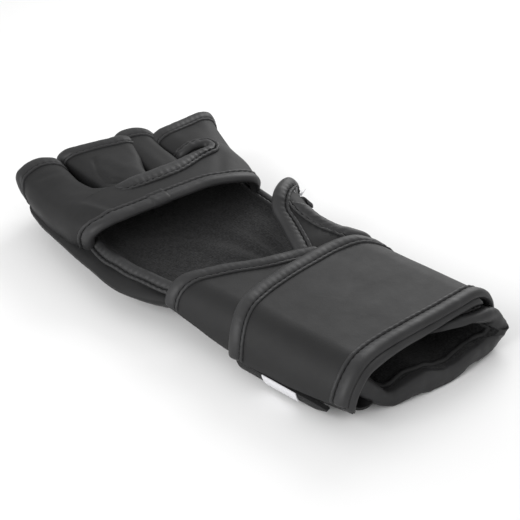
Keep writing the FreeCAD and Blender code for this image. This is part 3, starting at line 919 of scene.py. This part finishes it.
def tube_grid(turns, outset, front, rear, across, slack, seed, ends, far_ends=None):
    """A sheet round the cuff tube between two edge lines. ends gives the height at which its first
    column ends, and far_ends the turn at which its last one does, as pairs with Y in the cuff's
    frame."""
    section = np.array([oval(outset, t) for t in turns])
    y0, y1 = edge_at(front, section[:, 0]), edge_at(rear, section[:, 0])
    share = np.linspace(0, 1, across)[:, None]
    y = y0[None] * (1 - share) + y1[None] * share
    x, z = np.empty_like(y), np.empty_like(y)
    for i, first in enumerate(np.interp(y[:, 0], *np.array(ends).T)):
        low, high = turn_to(first, outset, -1.0), turns[-1]
        if far_ends:
            high = np.interp(y[i, -1], *np.array(far_ends).T)
        row_turns = low + (turns - turns[0]) * (high - low) / (turns[-1] - turns[0])
        x[i], z[i] = np.array([oval(outset, t) for t in row_turns]).T
    grid = from_cuff(np.stack([x, y, z], -1))
    return soften(grid, CUFF_MIDDLE, seed, slack) if slack else grid


def rounded_slab(name, grid, normals, thickness, material):
    """A padded sheet whose rear edge is rounded over; its thickness is given for each column."""
    run = np.concatenate([[0], np.cumsum(np.linalg.norm(np.diff(grid, axis=0), axis=2).mean(1))])
    radius = thickness[None, :] / 2
    s = np.clip((run[-1] - run)[:, None], 0, radius)
    dip = radius - np.sqrt(np.maximum(radius**2 - (radius - s) ** 2, 0))
    dip = np.minimum(dip, radius - 0.15)[..., None]
    depth = thickness[None, :, None] - 2 * dip
    return slab(name, grid - normals * dip, normals, 0.0, depth, material)


# The padded cuff's section, from the little-finger side under the wrist to the sunk thumb-side wing
CUFF_SECTION = [
    (-43.5, 24.4), (-41.2, 20.8), (-38.2, 16.4), (-34.6, 12.0), (-30.8, 7.8), (-26.6, 4.2),
    (-20.6, 1.2), (-12, 0.2), (12, 0.1), (28, 0.3), (38, 1.2), (45, 4.4), (49.4, 9.6), (50.6, 15),
    (49, 20), (45, 22.6), (39, 23.8), (30, 24.8), (15, 25.4), (0, 25.4), (-10, 25.4)]
CUFF_THICKNESS = 6.2
WING_THICKNESS = 0.8         # at the wing's tip
WING_EDGE = [(-20, 24), (-6, 18), (0, 14), (8, 10.4), (23, 5.2), (30, 3.4), (41, 1.0), (48, 0), (60, 0)]
SEAM_ROLL_INSET = 8.0        # of the seam inside the cuff, from its rim
SEAM_ROLL_RADIUS = 1.5
FLARE_BY_HEIGHT = ([0, 5, 11.5, 16, 20, 24], [1.2, 1.1, 1.05, 0.45, 0.1, 0])
FLARE = 6.6                  # of the cuff's thumb side, behind the strap


def cuff_shape(section, on_wing):
    """The outer side of the cuff's floor and sides, with its flare, its lumps and its sag."""
    across, height = section.T
    y0 = edge_at(CUFF_FRONT, across)
    y1 = edge_at(CUFF_REAR, across) + on_wing * edge_at(WING_EDGE, across)
    share = np.concatenate([np.linspace(0, 0.9, 46)[:-1], np.linspace(0.9, 1, 18)])[:, None]
    y = y0[None] * (1 - share) + y1[None] * share
    flare = ramp(share, 0.85, 1) ** 2 * ramp(across, 24, 40) * np.interp(height, *FLARE_BY_HEIGHT)
    x, z = across[None] + FLARE * flare, np.broadcast_to(height[None], y.shape)
    grid = from_cuff(np.stack([x, y, z], -1))
    lumps = 0.5 * bumps(grid, 12.0, 12.0) + 0.6 * share**6 * bumps(grid, 7.0, 15.0)
    grid = grid + normals_of(grid, CUFF_MIDDLE) * lumps[..., None]
    sag = 2.6 * ridge(across + 6, 9) + 2.8 * ridge(across - 26, 8)
    grid[..., 2] += (height < 12) * sag * ramp(share, 0.55, 1) ** 1.5
    return grid


def cuff_thickness(section, on_wing):
    """The padding's thickness for each column: lumpy on the floor, thin towards the wing's tip."""
    across, height = section.T
    wing = np.where(on_wing, ramp(across, 50, 30), 0)
    lumps = 1.9 * ridge(across, 9) - 1.5 * ridge(across - 24, 6)
    lumps += 1.3 * ridge(across - 40, 6) - 1.4 * ridge(across + 24, 5)
    return CUFF_THICKNESS + (WING_THICKNESS - CUFF_THICKNESS) * wing + lumps * (height < 10)


def make_cuff():
    """The cuff's floor and sides: thick and soft, with a fat rolled rim."""
    section = smooth_line([(x, 0, z) for x, z in CUFF_SECTION], 190)[:, [0, 2]]
    across, height = section.T
    on_wing = (height > 15) & (across > 0) | (across < 0) & (height > 25)
    grid = cuff_shape(section, on_wing)
    normals = normals_of(grid, CUFF_MIDDLE)
    thickness = cuff_thickness(section, on_wing)
    body = rounded_slab("cuff_body", grid, normals, thickness, MATERIALS["leather"])
    place(body, ROOT, ["cuff_shell", "cuff_foam"])
    inside = thickness[None, :, None]
    inner = slab("cuff_inner_lining", grid[:-6], normals[:-6], inside, LINING, MATERIALS["lining"])
    place(inner, ROOT, ["cuff_lining"])
    rim = edge_columns(grid, normals, "last_row")
    rim_run = run_along(grid[-1])
    rim_thickness = np.interp(np.linspace(0, rim_run[-1], 200), rim_run, thickness)
    bound_edge("cuff_rim_roll", rim, ROOT, ["cuff_rim_binding"], thickness=rim_thickness, pucker=2.4)
    make_lining_seam(rim, rim_thickness)


def make_lining_seam(rim, rim_thickness):
    """The rolled seam inside the cuff, along the part of its rim that shows."""
    at, facing = along_columns(rim, SEAM_ROLL_INSET)
    depth = stretched(rim_thickness, len(at)) + 1.0
    path = at - facing * depth[:, None]
    path = path[(at[:, 2] < 20) & (path[:, 2] > 5)]
    path = path + 0.4 * bumps(path, 6.0, 3.0)[:, None]
    points, faces = tube_mesh(path, SEAM_ROLL_RADIUS, 10)
    seam = make_object("cuff_lining_seam", points, faces, MATERIALS["leather"])
    place(seam, ROOT)


# How low the flap and the strap reach on the little-finger side: height at each Y of the cuff's
# frame; and the turn at which the flap ends under the strap
FLAP_ENDS = [(-70, 14.5), (-56, 13), (-34, 9), (17, 8.5), (25, 10), (40, 13.5), (54, 16), (64, 17)]
FLAP_FAR_ENDS = [(-58, 0.72), (-40, 0.6), (0, 0.42), (20, 0.385)]
STRAP_ENDS = [(-60, 17.5), (-40, 14), (-20, 11.5), (17, 9.5)]
FLAP_OVERHANG = 2.4          # of the flap behind the strap
FLAP_OUTSET = 0.35           # over the tube
STRAP_OUTSET = 3.6


def make_flap():
    """The inner flap: the little-finger side of the cuff, which folds over the opening."""
    turns = np.concatenate([np.linspace(-1.12, -0.72, 60)[:-1], np.linspace(-0.72, 0.385, 70)])
    rear = [(x, y - FLAP_OVERHANG) for x, y in STRAP_REAR]
    grid = tube_grid(turns, FLAP_OUTSET, FLAP_FRONT, rear, 70, 0.3, 21.0, FLAP_ENDS, FLAP_FAR_ENDS)
    bend = ("flap", *from_cuff([(-48, 0, 20), (-26, 0, 20)]))
    normals = lined_sheet("flap_leather", grid, CUFF_MIDDLE, None, ["wrist_flap"],
                          ["wrist_flap_lining"], bend)
    front, rear = [edge_columns(grid, normals, edge) for edge in ("first_row", "last_row")]
    bound_edge("flap_front_binding", front, None, ["wrist_flap_binding"], bend)
    bound_edge("flap_rear_binding", rear, None, [], bend)


def make_strap():
    """The outer strap over the flap, from its root on the thumb side, with hook tape under it."""
    turns = np.concatenate([np.linspace(-1.1, -0.75, 40)[:-1], np.linspace(-0.75, 0.75, 110)[:-1],
                            np.linspace(0.75, turn_to(8.0, STRAP_OUTSET), 46)])
    grid = tube_grid(turns, STRAP_OUTSET, STRAP_FRONT, STRAP_REAR, 80, 0.28, 31.0, STRAP_ENDS)
    bend = ("strap", *from_cuff([(47, 0, 20), (29, 0, 20)]))
    normals = lined_sheet("strap_leather", grid, CUFF_MIDDLE, None, ["wrist_strap", "strap_root"],
                          ["wrist_strap_lining"], bend)
    front, rear = [edge_columns(grid, normals, edge) for edge in ("first_row", "last_row")]
    nodes = ["strap_front_binding", "strap_root_bindings"]
    bound_edge("strap_front_binding_tape", front, None, nodes, bend)
    bound_edge("strap_rear_binding_tape", rear, None, ["strap_rear_binding"], bend)
    under, hooks = LEATHER + LINING_GAP + LINING, (slice(14, -14), slice(2, 30))
    patch = slab("hook_tape_patch", grid[hooks], normals[hooks], under, 0.5, MATERIALS["loop"])
    place(patch, "strap", ["hook_patch"])


def side_patch(name, outset, thickness, ends, high, material, node, slack=0.0):
    """A patch on the little-finger side of the cuff, from its lower ends up to a height."""
    turns = np.linspace(turn_to(ends[0][1], outset, -1.0), turn_to(high, outset, -1.0), 30)
    front, rear = [[(-60, y), (0, y), (60, y)] for y in (ends[-1][0], ends[0][0])]
    grid = tube_grid(turns, outset, front, rear, 70, slack, 44.0, ends)
    patch = slab(name, grid, normals_of(grid, CUFF_MIDDLE), 0.0, thickness, MATERIALS[material])
    place(patch, ROOT, [node])


LOOP_ENDS = [(-44, 11), (8, 11)]
TAB_ENDS = [(-45, 8.925), (-42, 7.2), (-37, 4.6), (-31, 2.4), (-25, 1.1), (-2, 0.6), (11, 3)]
TAG_ENDS = [(-27, 4.4), (-24, 3.0), (-9, 2.6), (-6, 4.0)]


def make_closure():
    """The loop tape that the strap closes on, the fuzzy tab below it and the blank tag on the tab."""
    side_patch("loop_tape_patch", 0.95, 0.6, LOOP_ENDS, 23, "loop", "loop_patch")
    side_patch("closure_tab_pile", 3.6, 2.4, TAB_ENDS, 10, "loop", "closure_tab",
               slack=0.25)
    side_patch("woven_tag", 4.4, 0.5, TAG_ENDS, 10.2, "label", "woven_label")


SIDE_FOLD = [(-47, 13), (-45, 8.4), (-41.4, 5.6), (-37.2, 4.2), (-33.4, 4.4), (-31, 6.2)]


def make_side_fold():
    """The folded seam between the flap's root and the cuff's floor."""
    across, height = smooth_line([(x, 0, z) for x, z in SIDE_FOLD], 26)[:, [0, 2]].T
    y = edge_at(CUFF_REAR, across)[None] + np.linspace(26, -0.6, 22)[:, None]
    grid = from_cuff(np.stack(np.broadcast_arrays(across[None], y, height[None]), -1))
    grid = grid + 0.5 * bumps(grid, 5.0, 17.0)[..., None]
    fold = slab("cuff_side_fold", grid, normals_of(grid, CUFF_MIDDLE), 0.0, 1.3, MATERIALS["leather"])
    place(fold, ROOT)


# ---------------------------------------------------------------- thumb panel and side bindings

PANEL_PALM_EDGE = [
    (7.6, -38, 26), (9.2, -31, 28.6), (11, -24, 31), (12.8, -17, 32.8), (15, -8, 35.5), (17, 1, 39),
    (21, 6, 42), (27, 11, 43.5), (37, 16, 43), (43.5, 18, 38), (46.5, 21, 29), (44.5, 25, 17.0)]
PANEL_HOLE_EDGE = [
    (51.5, -41, 25), (50.5, -36.8, 28.8), (47, -33.4, 31.2), (42, -28.5, 32.5), (37, -21, 34.5),
    (34.3, -14.5, 36.5), (33.4, -8.5, 38.2), (33.4, -3.5, 39.8), (34.4, 2.4, 41.4), (38.2, 8.2, 41.0),
    (42, 11.6, 35), (44.0, 13.6, 26), (43.5, 15, 16.5)]
PANEL_BULGE = 1.6
HOLE_TAPE_END = -6.5         # Y at which the tape along the thumb's hole turns up


def make_thumb_panel():
    """The panel from the palm over the base of the thumb, with the thumb's hole behind it."""
    palm, hole = smooth_line(PANEL_PALM_EDGE, 100), smooth_line(PANEL_HOLE_EDGE, 100)
    share = np.linspace(0, 1, 26)[:, None, None]
    grid = palm[None] * (1 - share) + hole[None] * share
    inside = (30, -8, 12)
    normals = normals_of(grid, inside)
    width = np.linalg.norm(palm - hole, axis=1)[None, :, None]
    grid = grid + normals * PANEL_BULGE * np.sin(math.pi * share) * ramp(width, 9, 19)
    grid = soften(grid, inside, 51.0, 0.3)
    normals = lined_sheet("thumb_panel_leather", grid, inside, ROOT, ["thumb_panel"],
                          ["thumb_panel_lining"])
    palm_side = edge_columns(grid, normals, "first_row")
    bound_edge("thumb_panel_palm_tape", palm_side, ROOT, ["thumb_panel_palm_binding"], pucker=1.4)
    end = int(np.argmin(np.abs(grid[-1, :, 1] - HOLE_TAPE_END)))
    hole_side = edge_columns(grid[:, :end], normals[:, :end], "last_row")
    bound_edge("thumb_hole_tape", hole_side, ROOT, ["thumb_hole_binding"], width=12.5, pucker=2.2)
    make_raw_end()


TAPE_CURL = [
    (31.6, -8, 37.4), (31.4, -4.0, 38.0), (32.4, -0.8, 39.0), (34.6, 1.2, 39.5), (36.6, 0.6, 39.2),
    (37.6, -1.4, 38.2), (36.8, -2.8, 37)]
THREADS = 18
THREAD_FEET = (34.6, 2.0, 39.3)


def make_raw_end():
    """The thumb-hole tape's cut end: it curls over, and pale threads stick out of it."""
    curl = smooth_line(TAPE_CURL, 34)
    across = np.linspace(0, 4.6, 6)[:, None, None] * np.array([0.62, -0.30, -0.72])
    grid = curl[None] + across
    facing = normals_of(grid, (37, -4, 36))
    end = slab("thumb_hole_tape_end", grid, facing, 0.0, 1.2, MATERIALS["binding"])
    place(end, ROOT)
    points, faces = [], []
    for _ in range(THREADS):
        foot = np.array(THREAD_FEET) + [random.uniform(-1.2, 1.2) for _ in range(3)]
        lean = np.array([random.uniform(-0.5, 0.9), random.uniform(-0.3, 1.0), random.uniform(0.1, 0.9)])
        bend = np.array([random.uniform(-1.2, 1.2) for _ in range(3)])
        t = np.linspace(0, 1, 7)[:, None]
        path = foot + lean * random.uniform(2.0, 4.2) * t + bend * t**2
        thread, sides = tube_mesh(path, [0.26, 0.10], 6, start=len(points))
        points += list(thread)
        faces += sides
    place(make_object("raw_threads", points, faces, MATERIALS["raw_end"]), ROOT)


def side_binding(name, path, inwards, facing, nodes, width, pucker=1.0):
    """A tape along one side of the hand; it folds inwards, and its outer side faces one way."""
    points = smooth_line(path, 80)
    columns = path_columns(points, *[np.tile(way, (len(points), 1)) for way in (inwards, facing)])
    bound_edge(name, columns, ROOT, nodes, width=width, pucker=pucker)


def make_side_bindings():
    little = [(-56.6, 54, 23.4), (-58.6, 43, 23.6), (-58.9, 34, 23.5), (-57.9, 26.5, 23.9),
              (-56.4, 17, 23.6), (-54.2, 8.8, 23.8), (-50.6, -5, 24.0), (-47, -15, 24.4)]
    side_binding("little_side_tape", little, (-0.86, 0, -0.51), (-0.51, 0, 0.86),
                 ["little_side_binding"], width=7.4, pucker=2.4)
    thumb = [(43.4, 58, 20.5), (42, 45, 20.6), (42.2, 32, 20.4), (42.4, 18, 20.0), (42, 4, 19.4),
             (41, -14, 18.4), (39.6, -27, 17)]
    side_binding("thumb_side_tape", thumb, (-1, 0, 0), (0.1, 0, 1), ["thumb_side_binding"], width=6.0)


# ---------------------------------------------------------------- floor, lights and camera

FLOOR_SIZE = 6.0             # metres, as are the places of the lights
FLOOR_GAP = 0.0004


def make_floor():
    low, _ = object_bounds()
    bpy.ops.mesh.primitive_plane_add(size=FLOOR_SIZE, location=(0, 0, low.z - FLOOR_GAP))
    floor = bpy.context.object
    floor.name = "floor"
    material, _, _, shader = new_material("pale_floor")
    set_inputs(shader, {"Base Color": (0.88, 0.88, 0.88, 1), "Roughness": 0.9,
                        "Specular IOR Level": 0.1})
    floor.data.materials.append(material)


def aimed(name, data, location, target):
    """A light or a camera at a place, turned towards a target."""
    obj = add_object(name, data)
    obj.location = location
    obj.rotation_euler = (Vector(target) - obj.location).to_track_quat("-Z", "Y").to_euler()
    return obj


def area_light(name, location, target, power, size):
    data = bpy.data.lights.new(name, "AREA")
    data.energy, data.size = power, size
    aimed(name, data, location, target)


def make_lights():
    world = bpy.data.worlds.new("studio")
    world.use_nodes = True
    set_inputs(world.node_tree.nodes["Background"], {"Color": (1, 1, 1, 1), "Strength": 0.72})
    bpy.context.scene.world = world
    area_light("key", (0.42, 0.20, 0.30), (0.05, -0.08, 0), 1.5, 0.30)
    area_light("left", (-0.75, -0.10, 0.42), (0, 0.02, 0.02), 5.2, 0.6)


CAMERA_AZIMUTH = math.radians(-36.6)
CAMERA_ELEVATION = math.radians(33.0)
CAMERA_DISTANCE = 760.0
CAMERA_TARGET = (4.5, -5.0, 15.2)
CAMERA_ANGLE = math.radians(20.0)


def make_camera():
    level = math.cos(CAMERA_ELEVATION)
    back = np.array([math.sin(CAMERA_AZIMUTH) * level, -math.cos(CAMERA_AZIMUTH) * level,
                     math.sin(CAMERA_ELEVATION)])
    target = CAMERA_TARGET + ORIGIN
    data = bpy.data.cameras.new("camera")
    data.sensor_fit, data.angle = "HORIZONTAL", CAMERA_ANGLE
    bpy.context.scene.camera = aimed("camera", data, (target + back * CAMERA_DISTANCE) * MM, target * MM)


def main():
    bar = make_bar()
    make_little_stall(bar)
    make_index_stall(bar)
    make_open_stalls()
    make_slit_binding()
    make_hand_lining(make_pads())
    make_cuff()
    make_flap()
    make_strap()
    make_closure()
    make_side_fold()
    make_thumb_panel()
    make_side_bindings()
    make_floor()
    make_lights()
    make_camera()
    bpy.context.scene.view_settings.view_transform = "Standard"


main()
bpy.context.view_layer.update()
